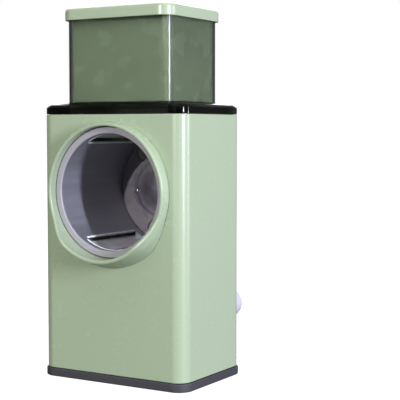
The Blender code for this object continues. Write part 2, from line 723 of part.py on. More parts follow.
def make_crank_arm():
    top = 0.0135
    end = 0.0115
    outline = arc((0, 0), top, 0, 180, 16) + arc((0, -CRANK_RADIUS), end, 180, 360, 16)
    arm = plate_from_outline("crank_arm", outline, ARM_THICKNESS, white_plastic())
    stand_up(arm, ARM_FRONT + ARM_THICKNESS / 2)
    bore(arm, SHAFT_RADIUS + GAP, 0.0, 0.1, ALONG_Y, on_axis(), 32)
    bore(arm, 0.0033, 0.0, 0.1, ALONG_Y, (0, 0, AXIS_Z - CRANK_RADIUS))
    return arm


def make_crank_screw():
    return make_screw("crank_screw", 0.0085, 0.0030, 0.0020, 0.0100, ALONG_Y,
                      on_axis(ARM_FRONT + ARM_THICKNESS + GAP), steel())


def grip_axis(y=0.0):
    return (0.0, y, AXIS_Z - CRANK_RADIUS)


def make_grip_pin():
    head = ARM_FRONT - GAP
    profile = [(0.0, GRIP_END - 0.0160), (0.0038, GRIP_END - 0.0165), (0.0042, GRIP_END - 0.0180),
               (0.0030, GRIP_END - 0.0195), (0.0030, head), (0.0060, head),
               (0.0060, head - 0.0018), (0.0, head - 0.0018)]
    return turned("grip_pin", profile, ALONG_Y, grip_axis(), steel(), 24, closed=False)


def make_grip_washer():
    low = ARM_FRONT + ARM_THICKNESS + GAP
    profile = [(0.0095, low + 0.0012), (0.0095, low), (0.0034, low), (0.0034, low + 0.0012)]
    return turned("grip_washer", profile, ALONG_Y, grip_axis(), white_plastic(), 24)


def make_grip():
    start = ARM_FRONT + ARM_THICKNESS + 2 * GAP + 0.0012
    length = GRIP_END - start
    nose = 0.0085
    outside = []
    steps = 5
    for i in range(steps + 1):
        angle = math.pi / 2 * (1 - i / steps)
        outside.append((GRIP_RADIUS * math.cos(angle), GRIP_END - nose + nose * math.sin(angle)))
    body = [(GRIP_RADIUS * 0.98, start + length * 0.55), (GRIP_RADIUS * 0.86, start + length * 0.22),
            (GRIP_RADIUS * 0.84, start + 0.0030), (GRIP_RADIUS * 0.78, start)]
    inside = [(0.0034, start), (0.0034, GRIP_END - 0.0200), (0.0046, GRIP_END - 0.0185),
              (0.0046, GRIP_END - 0.0150), (0.0, GRIP_END - 0.0150)]
    return turned("grip", outside + body + inside, ALONG_Y, grip_axis(), white_plastic(), 24,
                  closed=False)


def build():
    make_housing_shell()
    make_outlet_collar()
    make_drum_chamber()
    make_chamber_screws()
    make_shaft_bushing()
    make_base_plate()
    make_base_skirt()
    make_base_screws()
    make_suction_pad()
    make_pull_stem()
    make_cam_shaft()
    make_cam_clip()
    make_suction_lever()
    make_hopper()
    make_pusher_cap()
    make_pusher_body()
    make_drum_shell()
    make_drum_front_ring()
    make_drum_end_plate()
    make_drum_hub()
    make_drum_rivets()
    make_drive_shaft()
    make_thrust_washer()
    make_crank_arm()
    make_crank_screw()
    make_grip_pin()
    make_grip_washer()
    make_grip()


build()
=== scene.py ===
"""Looks of the rotary cheese grater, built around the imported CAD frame. Lengths are in metres.

Frame: origin at the middle of the footprint, +Z up, the outlet faces -Y. Each refined piece stands
for a CAD node and rides on the same body. The louvres' edges are separate pieces that stand for the
drum sheet with it. Nodes whose CAD shape is right are kept, and get a material at the end.
"""
import json
import math

import bmesh
import bpy
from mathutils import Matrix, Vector

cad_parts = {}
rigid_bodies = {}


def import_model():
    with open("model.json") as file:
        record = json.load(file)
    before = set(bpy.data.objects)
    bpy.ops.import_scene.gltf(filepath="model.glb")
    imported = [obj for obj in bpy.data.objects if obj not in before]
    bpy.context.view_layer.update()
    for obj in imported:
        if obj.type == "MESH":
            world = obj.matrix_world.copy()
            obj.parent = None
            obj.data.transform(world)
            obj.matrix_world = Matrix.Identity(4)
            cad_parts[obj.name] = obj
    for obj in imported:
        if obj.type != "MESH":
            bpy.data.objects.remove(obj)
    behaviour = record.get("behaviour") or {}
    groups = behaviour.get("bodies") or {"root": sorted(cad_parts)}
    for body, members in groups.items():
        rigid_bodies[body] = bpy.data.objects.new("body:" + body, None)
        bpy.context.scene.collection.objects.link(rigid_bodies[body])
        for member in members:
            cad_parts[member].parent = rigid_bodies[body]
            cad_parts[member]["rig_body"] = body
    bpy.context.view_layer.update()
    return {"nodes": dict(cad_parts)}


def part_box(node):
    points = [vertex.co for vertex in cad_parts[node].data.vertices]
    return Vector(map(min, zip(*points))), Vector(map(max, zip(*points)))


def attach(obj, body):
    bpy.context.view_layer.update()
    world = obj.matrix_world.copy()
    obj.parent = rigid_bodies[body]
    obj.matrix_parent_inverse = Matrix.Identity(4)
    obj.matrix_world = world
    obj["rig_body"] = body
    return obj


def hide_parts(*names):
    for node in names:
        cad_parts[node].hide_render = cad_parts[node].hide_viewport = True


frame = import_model()

# ---- sizes read from the frame ----
UP, ALONG_X, ALONG_Y = (0, 0, 1), (1, 0, 0), (0, 1, 0)
GAP = 0.0003                     # space between touching pieces, as in the CAD model


def extent(node):
    """Width, depth, lowest point and highest point of a CAD node."""
    low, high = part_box(node)
    return high.x - low.x, high.y - low.y, low.z, high.z


BODY_WIDTH, BODY_DEPTH, BODY_LOW, BODY_TOP = extent("housing_shell")
SKIRT_WIDTH, SKIRT_DEPTH, SKIRT_LOW, SKIRT_LIP_TOP = extent("base_skirt")
CAP_WIDTH, CAP_DEPTH, CAP_LOW, CAP_TOP = extent("pusher_cap")
PUSHER_WIDTH, PUSHER_DEPTH, PUSHER_LOW, PUSHER_TOP = extent("pusher_body")
FRONT_Y = -BODY_DEPTH / 2
REAR_Y = BODY_DEPTH / 2
AXIS_Z = (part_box("drum_front_ring")[0].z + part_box("drum_front_ring")[1].z) / 2
GRIP_Z = (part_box("grip")[0].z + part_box("grip")[1].z) / 2
CRANK_RADIUS = AXIS_Z - GRIP_Z
ARM_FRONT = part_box("crank_arm")[0].y
ARM_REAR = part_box("crank_arm")[1].y
RING_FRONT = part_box("drum_front_ring")[0].y
DRUM_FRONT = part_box("drum_shell")[0].y
DRUM_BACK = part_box("drum_shell")[1].y
LIP_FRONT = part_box("outlet_collar")[0].y
HOPPER_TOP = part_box("hopper")[1].z
GRIP_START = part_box("grip")[0].y
GRIP_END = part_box("grip")[1].y

# ---- sizes that repeat the CAD model's own ----
BODY_CORNER = 0.0103
BODY_WALL = 0.0026
INNER_WIDTH = BODY_WIDTH - 2 * BODY_WALL
INNER_DEPTH = BODY_DEPTH - 2 * BODY_WALL
INNER_CORNER = BODY_CORNER - BODY_WALL
SKIRT_HEIGHT = 0.0063
FLANGE_TOP = BODY_TOP + 0.008
FLANGE_SLOPE = 0.0028            # how far the flange's top falls towards its edge
FLANGE_SLOPE_RUN = 0.0062
HOPPER_WIDTH = 0.0936
HOPPER_DEPTH = 0.0698
HOPPER_CORNER = 0.0066
HOPPER_WALL = 0.0024
HOPPER_SHIFT = 0.001
CAP_CORNER = 0.0104
CAP_PLATE = 0.0028
COLLAR_BORE = 0.0488
COLLAR_RIM = 0.0515
COLLAR_ROOT = 0.0522
COLLAR_ROOT_SWELL = 0.0042
COLLAR_REACH = 0.0085
SPIGOT_RADIUS = 0.0502
SPOUT_FULL_ANGLE = 36.0
SPOUT_END_ANGLE = 73.0
DRUM_INNER = 0.0435
DRUM_SHEET = 0.0012
RING_INNER = 0.0435
RING_OUTER = 0.0483
LOUVRES = ((236.0, 51.0), (121.0, -51.0))     # cutting edge angle, and degrees to the blade's root
LOUVRE_LIFT = 0.0030
LOUVRE_FRONT = -0.0370
LOUVRE_BACK = 0.0280
RIVET_HOLE = 0.0012
PLATE_SHEET = 0.0010
HAT_RADIUS = 0.0262
HAT_FRONT = 0.0245
DOME_RADIUS = 0.0205
DOME_HEIGHT = 0.0025
PLATE_HOLE = 0.0066
PLATE_HOLE_PITCH = 0.0350
PLATE_HOLES = (10, 130, 250)
RIVET_PITCH = 0.0215
RIVETS = (66, 186, 306)
SCREW_PITCH = 0.0300
SCREWS = (45, 135, 225, 315)
SCREW_HOLE = 0.0019
POST_X = 0.0545
POST_Y = 0.0330
POST_RADIUS = 0.0080
POST_TOP = 0.0340
PILOT_RADIUS = 0.0018
PILOT_TOP = 0.0300
PLATE_TOP = 0.0150
LEVER_Z = 0.0240
LEVER_HOLE = 0.0064
OUTLET_HOLE = COLLAR_ROOT - 0.0017
BUSH_RADIUS = 0.0090
BUSH_FLANGE = 0.0130
BUSH_BORE = 0.0061
BUSH_HOLE = 0.0093
SKIRT_OPENING = (0.106, 0.070)
SKIRT_OPENING_CORNER = 0.012
SCREW_WELL = 0.0040
CHUTE_LOW = 0.150
SADDLE_RADIUS = 0.0522
RIM_DROP = 0.004                 # how far the hopper's rim reaches into the housing
RIM_INSET = 0.002
SHAFT_HOLE = 0.0063              # hole for the drive shaft in the arm and its washer
PIN_HOLE = 0.0034                # hole for the grip pin in the grip and its washer
ARM_PIN_HOLE = 0.0033

# ---- details that only this file has ----
SLIT_TURN = 21.5                 # degrees from the lower cutting edge to a narrow slit in the drum
SLIT_SPAN = 1.6                  # degrees
# EDGE_LENGTH is the length of the bright bead beside each louvre, partly ground metal and partly a
# painted highlight.
EDGE_LENGTH = 0.0643             # ground edge beside each louvre
EDGE_STEPS = 96

# ---- resolution and tools ----
FINE = 144                       # sides of the large round parts
CORNER_STEPS = 14                # segments round an upright corner
PAST = 0.01                      # how far a cutter reaches past what it cuts
CORNERS = ((1, 1), (1, -1), (-1, 1), (-1, -1))


# ---- building tools ----
def new_object(bm, name):
    mesh = bpy.data.meshes.new(name)
    bm.to_mesh(mesh)
    bm.free()
    obj = bpy.data.objects.new(name, mesh)
    bpy.context.scene.collection.objects.link(obj)
    return obj


def loft(name, loops, closed=False):
    """A skin through loops of equal count: a closed ring of loops, or capped at both ends."""
    bm = bmesh.new()
    rings = [[bm.verts.new(point) for point in loop] for loop in loops]
    count = len(rings[0])
    for i in range(len(rings) if closed else len(rings) - 1):
        here, there = rings[i], rings[(i + 1) % len(rings)]
        for j in range(count):
            k = (j + 1) % count
            bm.faces.new((here[j], here[k], there[k], there[j]))
    if not closed:
        for ring in (rings[0], rings[-1]):
            if (ring[0].co - ring[count // 2].co).length > 1e-6:
                bm.faces.new(ring)
    bmesh.ops.remove_doubles(bm, verts=bm.verts, dist=1e-7)
    bmesh.ops.recalc_face_normals(bm, faces=bm.faces)
    return new_object(bm, name)


def rounded(points, closed=False, steps=5):
    """A path through (a, b, radius) points, with an arc of that radius at each corner."""
    path = []
    count = len(points)
    for i, point in enumerate(points):
        here = Vector(point[:2])
        radius = point[2] if len(point) > 2 else 0.0
        if radius == 0.0 or (not closed and i in (0, count - 1)):
            path.append(tuple(here))
            continue
        before = (Vector(points[i - 1][:2]) - here).normalized()
        after = (Vector(points[(i + 1) % count][:2]) - here).normalized()
        half = before.angle(after) / 2
        centre = here + (before + after).normalized() * (radius / math.sin(half))
        first = here + before * (radius / math.tan(half)) - centre
        last = here + after * (radius / math.tan(half)) - centre
        turn = first.angle(last)
        side = (last - first * math.cos(turn)) / math.sin(turn)
        for k in range(steps + 1):
            angle = turn * k / steps
            path.append(tuple(centre + first * math.cos(angle) + side * math.sin(angle)))
    return path


def rect_loop(width, depth, corner, z, shift=0.0):
    """A level rounded rectangle; shift moves it along Y."""
    loop = []
    for cx, cy, start in ((1, -1, -90), (1, 1, 0), (-1, 1, 90), (-1, -1, 180)):
        for i in range(CORNER_STEPS + 1):
            angle = math.radians(start + 90 * i / CORNER_STEPS)
            loop.append((cx * (width / 2 - corner) + corner * math.cos(angle),
                         cy * (depth / 2 - corner) + corner * math.sin(angle) + shift, z))
    return loop


def rect_loops(width, depth, corner, profile, shift=0.0):
    """Rounded rectangles for a profile of (inset, z) points."""
    return [rect_loop(width - 2 * inset, depth - 2 * inset, max(corner - inset, 0.0002), z, shift)
            for inset, z in profile]


def axis_point(a, b, along, direction, centre):
    """The world point at (a, b) across an axis and `along` it, from centre."""
    x, y, z = centre
    if direction == ALONG_Y:
        return (x + a, y + along, z + b)
    if direction == ALONG_X:
        return (x + along, y + a, z + b)
    return (x + a, y + b, z + along)


def turned(name, profile, direction=ALONG_Y, centre=None, sides=FINE, closed=False):
    """A turned piece from (radius, distance along the axis) points."""
    centre = (0, 0, AXIS_Z) if centre is None else centre
    loops = []
    for radius, along in profile:
        loops.append([axis_point(radius * math.cos(2 * math.pi * i / sides),
                                 radius * math.sin(2 * math.pi * i / sides),
                                 along, direction, centre) for i in range(sides)])
    return loft(name, loops, closed)


def rod(name, radius, start, end, direction=ALONG_Y, centre=None, sides=64):
    return turned(name, [(radius, start), (radius, end)], direction, centre, sides)


def box_cutter(name, low, high):
    bm = bmesh.new()
    bmesh.ops.create_cube(bm, size=1.0)
    size = Vector(high) - Vector(low)
    bmesh.ops.scale(bm, vec=size, verts=bm.verts)
    bmesh.ops.translate(bm, vec=(Vector(low) + Vector(high)) / 2, verts=bm.verts)
    return new_object(bm, name)


def boolean(obj, other, operation="DIFFERENCE"):
    """Cuts, joins or intersects obj with other, which is used up."""
    modifier = obj.modifiers.new("shape", "BOOLEAN")
    modifier.operation = operation
    modifier.solver = "EXACT"
    modifier.object = other
    bake(obj)
    bpy.data.objects.remove(other, do_unlink=True)
    return obj


def bake(obj):
    """Makes the object's modifiers final."""
    bpy.context.view_layer.update()
    evaluated = obj.evaluated_get(bpy.context.evaluated_depsgraph_get())
    mesh = bpy.data.meshes.new_from_object(evaluated)
    obj.modifiers.clear()
    old = obj.data
    obj.data = mesh
    bpy.data.meshes.remove(old)
    mesh.name = obj.name
    return obj


def polar(radius, degrees, y=0.0):
    angle = math.radians(degrees)
    return (radius * math.cos(angle), y, AXIS_Z + radius * math.sin(angle))


def finish(obj, node, mat, angle=32):
    """Shading, material, body and stand-in for one refined piece."""
    mesh = obj.data
    mesh.materials.clear()
    mesh.materials.append(mat)
    for polygon in mesh.polygons:
        polygon.material_index = 0
    mesh.shade_smooth()
    mesh.set_sharp_from_angle(angle=math.radians(angle))
    weighted = obj.modifiers.new("flat_faces", "WEIGHTED_NORMAL")
    weighted.keep_sharp = True
    weighted.weight = 100
    bake(obj)
    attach(obj, frame["nodes"][node]["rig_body"])
    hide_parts(node)
    return obj


# ---- materials ----
NOISE_LOW, NOISE_HIGH = 0.08, 0.92     # noise values that stand for a drift's two ends


def principled(name, colour, roughness, metallic=0.0, **inputs):
    """A Principled material. Further inputs are set by their socket names."""
    mat = bpy.data.materials.new(name)
    mat.use_nodes = True
    shader = mat.node_tree.nodes["Principled BSDF"]
    shader.inputs["Base Color"].default_value = (*colour, 1.0)
    shader.inputs["Roughness"].default_value = roughness
    shader.inputs["Metallic"].default_value = metallic
    for socket, value in inputs.items():
        shader.inputs[socket.replace("_", " ")].default_value = value
    return mat


def noise(mat, scale, detail=3.0, stretch=(1, 1, 1)):
    nodes, links = mat.node_tree.nodes, mat.node_tree.links
    place = nodes.new("ShaderNodeTexCoord")
    mapping = nodes.new("ShaderNodeMapping")
    mapping.inputs["Scale"].default_value = stretch
    texture = nodes.new("ShaderNodeTexNoise")
    texture.inputs["Scale"].default_value = scale
    texture.inputs["Detail"].default_value = detail
    links.new(place.outputs["Object"], mapping.inputs["Vector"])
    links.new(mapping.outputs["Vector"], texture.inputs["Vector"])
    return texture.outputs["Fac"]


def vary_colour(mat, factor, dark, light):
    """Base colour that drifts between two tones."""
    nodes, links = mat.node_tree.nodes, mat.node_tree.links
    ramp = nodes.new("ShaderNodeValToRGB")
    ramp.color_ramp.elements[0].position = NOISE_LOW
    ramp.color_ramp.elements[0].color = (*dark, 1.0)
    ramp.color_ramp.elements[1].position = NOISE_HIGH
    ramp.color_ramp.elements[1].color = (*light, 1.0)
    links.new(factor, ramp.inputs["Fac"])
    links.new(ramp.outputs["Color"], nodes["Principled BSDF"].inputs["Base Color"])


def vary_roughness(mat, factor, low, high):
    nodes, links = mat.node_tree.nodes, mat.node_tree.links
    spread = nodes.new("ShaderNodeMapRange")
    spread.inputs["From Min"].default_value = NOISE_LOW
    spread.inputs["From Max"].default_value = NOISE_HIGH
    spread.inputs["To Min"].default_value = low
    spread.inputs["To Max"].default_value = high
    links.new(factor, spread.inputs["Value"])
    links.new(spread.outputs["Result"], nodes["Principled BSDF"].inputs["Roughness"])


def grain(mat, factor, strength, depth):
    nodes, links = mat.node_tree.nodes, mat.node_tree.links
    bump = nodes.new("ShaderNodeBump")
    bump.inputs["Strength"].default_value = strength
    bump.inputs["Distance"].default_value = depth
    links.new(factor, bump.inputs["Height"])
    links.new(bump.outputs["Normal"], nodes["Principled BSDF"].inputs["Normal"])


def tone(colour, share):
    return tuple(channel * share for channel in colour)


def moulded(name, colour, roughness, spread=0.012, grain_scale=900.0, grain_strength=0.04, **inputs):
    """Moulded plastic: slow drift in tone, uneven gloss and a fine grain."""
    mat = principled(name, colour, roughness, **inputs)
    vary_colour(mat, noise(mat, 18.0, 2.0), tone(colour, 1 - spread), tone(colour, 1 + spread))
    vary_roughness(mat, noise(mat, 60.0, 3.0), roughness * 0.93, roughness * 1.07)
    grain(mat, noise(mat, grain_scale, 2.0), grain_strength, 0.0002)
    return mat


def tinted(name, hue, density, roughness):
    """Clear plastic that darkens with thickness, with a faint drift in its surface tone.

    Its index and specular level are lower than a real plastic's, for softer reflections.
    """
    mat = principled(name, (0.97, 1.0, 0.95), roughness, IOR=1.30, Transmission_Weight=1.0,
                     Specular_IOR_Level=0.02)
    vary_colour(mat, noise(mat, 14.0, 1.0), (0.95, 0.98, 0.93), (0.99, 1.0, 0.97))
    nodes, links = mat.node_tree.nodes, mat.node_tree.links
    body = nodes.new("ShaderNodeVolumeAbsorption")
    body.inputs["Color"].default_value = (*hue, 1.0)
    body.inputs["Density"].default_value = density
    links.new(body.outputs["Volume"], nodes["Material Output"].inputs["Volume"])
    return mat


def brushed(name, colour, roughness, stretch, metallic=1.0, **inputs):
    """Metal drawn along one direction: fine lines in gloss and relief."""
    mat = principled(name, colour, roughness, metallic, **inputs)
    lines = noise(mat, 220.0, 4.0, stretch)
    vary_colour(mat, lines, tone(colour, 0.86), tone(colour, 1.14))
    vary_roughness(mat, lines, roughness * 0.72, roughness * 1.28)
    grain(mat, lines, 0.03, 0.0002)
    return mat


SAGE = moulded("sage_plastic", (0.325, 0.405, 0.270), 0.27)
SMOKED = tinted("smoked_plastic", (0.0, 0.04, 0.0), 108.0, 0.13)
RUBBER = moulded("dark_rubber", (0.036, 0.036, 0.042), 0.62, 0.10, 1400.0, 0.12)
DARK = moulded("dark_plastic", (0.045, 0.045, 0.050), 0.45, 0.06)
LILAC = moulded("lilac_grey_plastic", (0.335, 0.328, 0.355), 0.34)
WHITE = moulded("white_plastic", (0.53, 0.54, 0.59), 0.32, 0.02)
DRUM = brushed("drum_steel", (0.35, 0.36, 0.41), 0.45, (1, 0.05, 1), 0.72)
PLATE = brushed("plate_steel", (0.27, 0.245, 0.27), 0.40, (1, 1, 1), 0.55)
STEEL = brushed("bright_steel", (0.56, 0.56, 0.58), 0.28, (1, 0.2, 1))
# A darker, more metallic copy of the plate steel for the hat's front: painted shade.
HAT_PAINTED_SHADE = brushed("hat_steel_painted_shade", (0.25, 0.228, 0.26), 0.38, (1, 1, 1), 0.85)
# Bright steel for the blades' inner faces and the beads by the louvres: partly ground metal, partly a
# painted highlight for the light they catch.
GROUND_EDGE_AND_HIGHLIGHT = brushed("ground_edge_and_painted_highlight_steel", (0.72, 0.72, 0.76), 0.35, (1, 0.2, 1), 0.2)
BRONZE = brushed("sintered_bronze", (0.48, 0.33, 0.17), 0.42, (1, 1, 1))


# ---- housing ----
def smooth_step(value):
    value = min(max(value, 0.0), 1.0)
    return value * value * (3 - 2 * value)


def spout(degrees):
    """How much of the spout's extra reach applies at an angle about the drum axis, 0 to 1."""
    from_bottom = abs((degrees - 270.0 + 180.0) % 360.0 - 180.0)
    return smooth_step((SPOUT_END_ANGLE - from_bottom) / (SPOUT_END_ANGLE - SPOUT_FULL_ANGLE))


def make_housing():
    profile = rounded([(0.0, BODY_LOW, 0.0006), (0.0, BODY_TOP, 0.0007),
                       (BODY_WALL, BODY_TOP, 0.0004), (BODY_WALL, BODY_LOW, 0.0004)],
                      closed=True, steps=3)
    shell = loft("housing_cover", rect_loops(BODY_WIDTH, BODY_DEPTH, BODY_CORNER, profile), True)
    for sx, sy in CORNERS:
        foot = (sx * POST_X, sy * POST_Y, 0.0)
        boolean(shell, rod("post", POST_RADIUS, PLATE_TOP + GAP, POST_TOP, UP, foot, 32), "UNION")
        boolean(shell, rod("post_bore", PILOT_RADIUS, PLATE_TOP - 0.002, PILOT_TOP, UP, foot, 16))
    boolean(shell, rod("outlet", OUTLET_HOLE, FRONT_Y - PAST, FRONT_Y + 0.007, sides=FINE))
    boolean(shell, rod("bush_hole", BUSH_HOLE, REAR_Y - PAST, REAR_Y + PAST))
    for degrees in SCREWS:
        boolean(shell, rod("screw_hole", SCREW_HOLE, REAR_Y - PAST, REAR_Y + PAST,
                           centre=polar(SCREW_PITCH, degrees), sides=20))
    side = -BODY_WIDTH / 2
    boolean(shell, rod("lever_hole", LEVER_HOLE, side - PAST, side + PAST, ALONG_X,
                       (0, 0, LEVER_Z), 48))
    return finish(shell, "housing_shell", SAGE)


def collar_section(degrees):
    """The collar's section at one angle: radius, y and corner radius."""
    extra = spout(degrees)
    lip = FRONT_Y - COLLAR_REACH + (LIP_FRONT - FRONT_Y + COLLAR_REACH) * extra
    root = COLLAR_ROOT + COLLAR_ROOT_SWELL * extra
    inner_end = FRONT_Y + BODY_WALL
    return [(COLLAR_BORE, inner_end, 0.0002), (COLLAR_BORE, lip, 0.0011),
            (COLLAR_RIM, lip, 0.0011), (root, FRONT_Y - GAP, 0.0003),
            (SPIGOT_RADIUS, FRONT_Y - GAP, 0.0002), (SPIGOT_RADIUS, inner_end, 0.0002)]


def make_collar():
    sections = []
    for i in range(FINE):
        degrees = 360.0 * i / FINE
        section = rounded(collar_section(degrees), closed=True, steps=5)
        sections.append([polar(radius, degrees, y) for radius, y in section])
    collar = loft("outlet_rim", sections, True)
    return finish(collar, "outlet_collar", SAGE, 40)


# ---- base ----
def make_skirt():
    """The rubber band under the body, with a lip that goes up inside the housing."""
    width = INNER_WIDTH - 2 * GAP
    depth = INNER_DEPTH - 2 * GAP
    corner = INNER_CORNER - GAP
    outer = BODY_CORNER + (SKIRT_WIDTH - BODY_WIDTH) / 2
    lip_wall = 0.0016
    loops = rect_loops(SKIRT_WIDTH, SKIRT_DEPTH, outer,
                       rounded([(0.004, SKIRT_LOW), (0.0, SKIRT_LOW, 0.0010),
                                (0.0, SKIRT_HEIGHT, 0.0009), (0.004, SKIRT_HEIGHT)], steps=4))
    loops += rect_loops(width, depth, corner, [(0.0, SKIRT_HEIGHT), (0.0, SKIRT_LIP_TOP),
                                               (lip_wall, SKIRT_LIP_TOP), (lip_wall, SKIRT_HEIGHT)])
    opening = rounded([(0.004, SKIRT_HEIGHT), (0.0, SKIRT_HEIGHT, 0.0006),
                       (0.0, SKIRT_LOW, 0.0006), (-0.003, SKIRT_LOW)], steps=3)
    opening_width, opening_depth = SKIRT_OPENING
    loops += [rect_loop(opening_width + 2 * flare, opening_depth + 2 * flare,
                        SKIRT_OPENING_CORNER, z) for flare, z in opening]
    skirt = loft("base_band", loops, True)
    for sx, sy in CORNERS:
        boolean(skirt, rod("screw_well", SCREW_WELL, -PAST, SKIRT_HEIGHT + 0.002, UP,
                           (sx * POST_X, sy * POST_Y, 0), 32))
    return finish(skirt, "base_skirt", RUBBER)


def make_suction_pad():
    """A shallow cup: a boss for the stem, a thin brim, and a groove round its sole."""
    profile = [(0.0, 0.0060), (0.0113, 0.0060, 0.0006), (0.0125, 0.0030, 0.0015),
               (0.0310, 0.0022, 0.0015), (0.0330, 0.0006, 0.0006), (0.0329, 0.0, 0.0002)]
    profile = rounded(profile, steps=4)
    sole = [(0.0300, 0.0, 0.0002), (0.0296, 0.0004, 0.0002), (0.0286, 0.0004, 0.0002),
            (0.0282, 0.0, 0.0002), (0.0220, 0.0), (0.0, 0.0)]
    profile += rounded([(0.0325, 0.0)] + sole, steps=2)[1:]
    pad = turned("suction_cup", profile, UP, (0, 0, 0), 96)
    return finish(pad, "suction_pad", RUBBER)


def make_lever():
    """The paddle on the left side: a hub, a flat blade with softened edges and three grip ribs."""
    hub = 0.0105
    tip = 0.0070
    reach = 0.0300
    low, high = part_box("suction_lever")
    rib = 0.0007
    face = low.x + rib
    inner = high.x

    def outline(inset, x):
        slope = math.degrees(math.asin((hub - tip) / reach))
        points = []
        for centre, radius, start, end in ((0.0, hub, 90 - slope, 270 + slope),
                                           (reach, tip, -90 + slope, 90 - slope)):
            for i in range(25):
                angle = math.radians(start + (end - start) * i / 24)
                points.append((x, centre + (radius - inset) * math.cos(angle),
                               LEVER_Z + (radius - inset) * math.sin(angle)))
        return points

    section = rounded([(0.003, inner), (0.0, inner, 0.0006), (0.0, face, 0.0014), (0.003, face)],
                      steps=4)
    lever = loft("lever_paddle", [outline(inset, x) for inset, x in section])
    boolean(lever, rod("lever_bore", 0.0063, -0.08, -0.05, ALONG_X, (0, 0, LEVER_Z)))
    for y in (0.0235, 0.0270, 0.0305):
        bar = turned("rib", [(0.0, -0.0046), (0.0007, -0.0042), (0.0009, -0.0035), (0.0009, 0.0035),
                             (0.0007, 0.0042), (0.0, 0.0046)], UP, (face, y, LEVER_Z), 16)
        boolean(bar, box_cutter("rib_limit", (low.x, y - 0.002, 0.0), (inner, y + 0.002, 0.05)),
                "INTERSECT")
        boolean(lever, bar, "UNION")
    return finish(lever, "suction_lever", DARK)


# ---- hopper and pusher ----
def make_hopper():
    """The chute, the rim that locates it in the housing, and the flange with a sloping edge."""
    rim_width = INNER_WIDTH - 2 * GAP
    rim_depth = INNER_DEPTH - 2 * GAP
    rim_corner = INNER_CORNER - GAP
    under = BODY_TOP + GAP
    wall = HOPPER_WALL

    def chute(profile):
        return rect_loops(HOPPER_WIDTH, HOPPER_DEPTH, HOPPER_CORNER, profile, HOPPER_SHIFT)

    loops = chute([(wall, CHUTE_LOW), (0.0, CHUTE_LOW), (0.0, under)])
    loops += rect_loops(rim_width, rim_depth, rim_corner,
                        [(RIM_INSET, under), (RIM_INSET, BODY_TOP - RIM_DROP),
                         (0.0, BODY_TOP - RIM_DROP), (0.0, under)])
    loops += rect_loops(BODY_WIDTH, BODY_DEPTH, BODY_CORNER,
                        rounded([(0.003, under), (0.0, under, 0.0005),
                                 (0.0, FLANGE_TOP - FLANGE_SLOPE, 0.0009),
                                 (0.0034, FLANGE_TOP - 0.0007, 0.0030),
                                 (FLANGE_SLOPE_RUN, FLANGE_TOP)], steps=5))
    loops += chute(rounded([(-0.004, FLANGE_TOP), (0.0, FLANGE_TOP, 0.0016),
                            (0.0, HOPPER_TOP, 0.0006), (wall, HOPPER_TOP, 0.0006),
                            (wall, CHUTE_LOW)],
                           steps=4)[:-1])
    hopper = loft("hopper_chute", loops, True)
    boolean(hopper, rod("saddle", SADDLE_RADIUS, -0.06, 0.06, sides=FINE))
    return finish(hopper, "hopper", SMOKED)


def make_pusher_cap():
    wall = 0.0018
    flat = 0.020                 # inset of the flat middle
    inside = CAP_TOP - CAP_PLATE
    profile = rounded([(flat, CAP_TOP), (0.0, CAP_TOP, 0.0024), (0.0, CAP_LOW, 0.0006),
                       (wall, CAP_LOW, 0.0005), (wall, inside, 0.0008), (flat, inside)], steps=6)
    loops = [rect_loop(CAP_WIDTH - 2 * inset, CAP_DEPTH - 2 * inset,
                       max(CAP_CORNER - inset, 0.002), z, HOPPER_SHIFT) for inset, z in profile]
    return finish(loft("pusher_lid", loops), "pusher_cap", SAGE)


def make_pusher_body():
    corner = HOPPER_CORNER - HOPPER_WALL - 0.0006
    wall = 0.002
    flat = 0.015                 # inset of the flat middle
    inside = PUSHER_LOW + 0.0025
    profile = rounded([(flat, PUSHER_LOW), (0.0, PUSHER_LOW, 0.0015), (0.0, PUSHER_TOP, 0.0004),
                       (wall, PUSHER_TOP, 0.0004), (wall, inside, 0.001), (flat, inside)], steps=4)
    loops = [rect_loop(PUSHER_WIDTH - 2 * inset, PUSHER_DEPTH - 2 * inset,
                       max(corner - inset, 0.001), z, HOPPER_SHIFT) for inset, z in profile]
    return finish(loft("pusher_block", loops), "pusher_body", SAGE)


# ---- drum ----
def blade_path(start, span, offset=0.0, count=24):
    """Points across one blade, from its raised cutting edge to its root in the drum wall."""
    points = []
    for i in range(count + 1):
        share = i / count
        radius = DRUM_INNER + LOUVRE_LIFT * math.cos(share * math.pi / 2) + offset
        points.append((radius, start + span * share))
    return points


def extruded(name, outline, y_front, y_back):
    """A prism along Y with an outline of (radius, degrees) points about the drum axis."""
    return loft(name, [[polar(radius, degrees, y) for radius, degrees in outline]
                       for y in (y_front, y_back)])


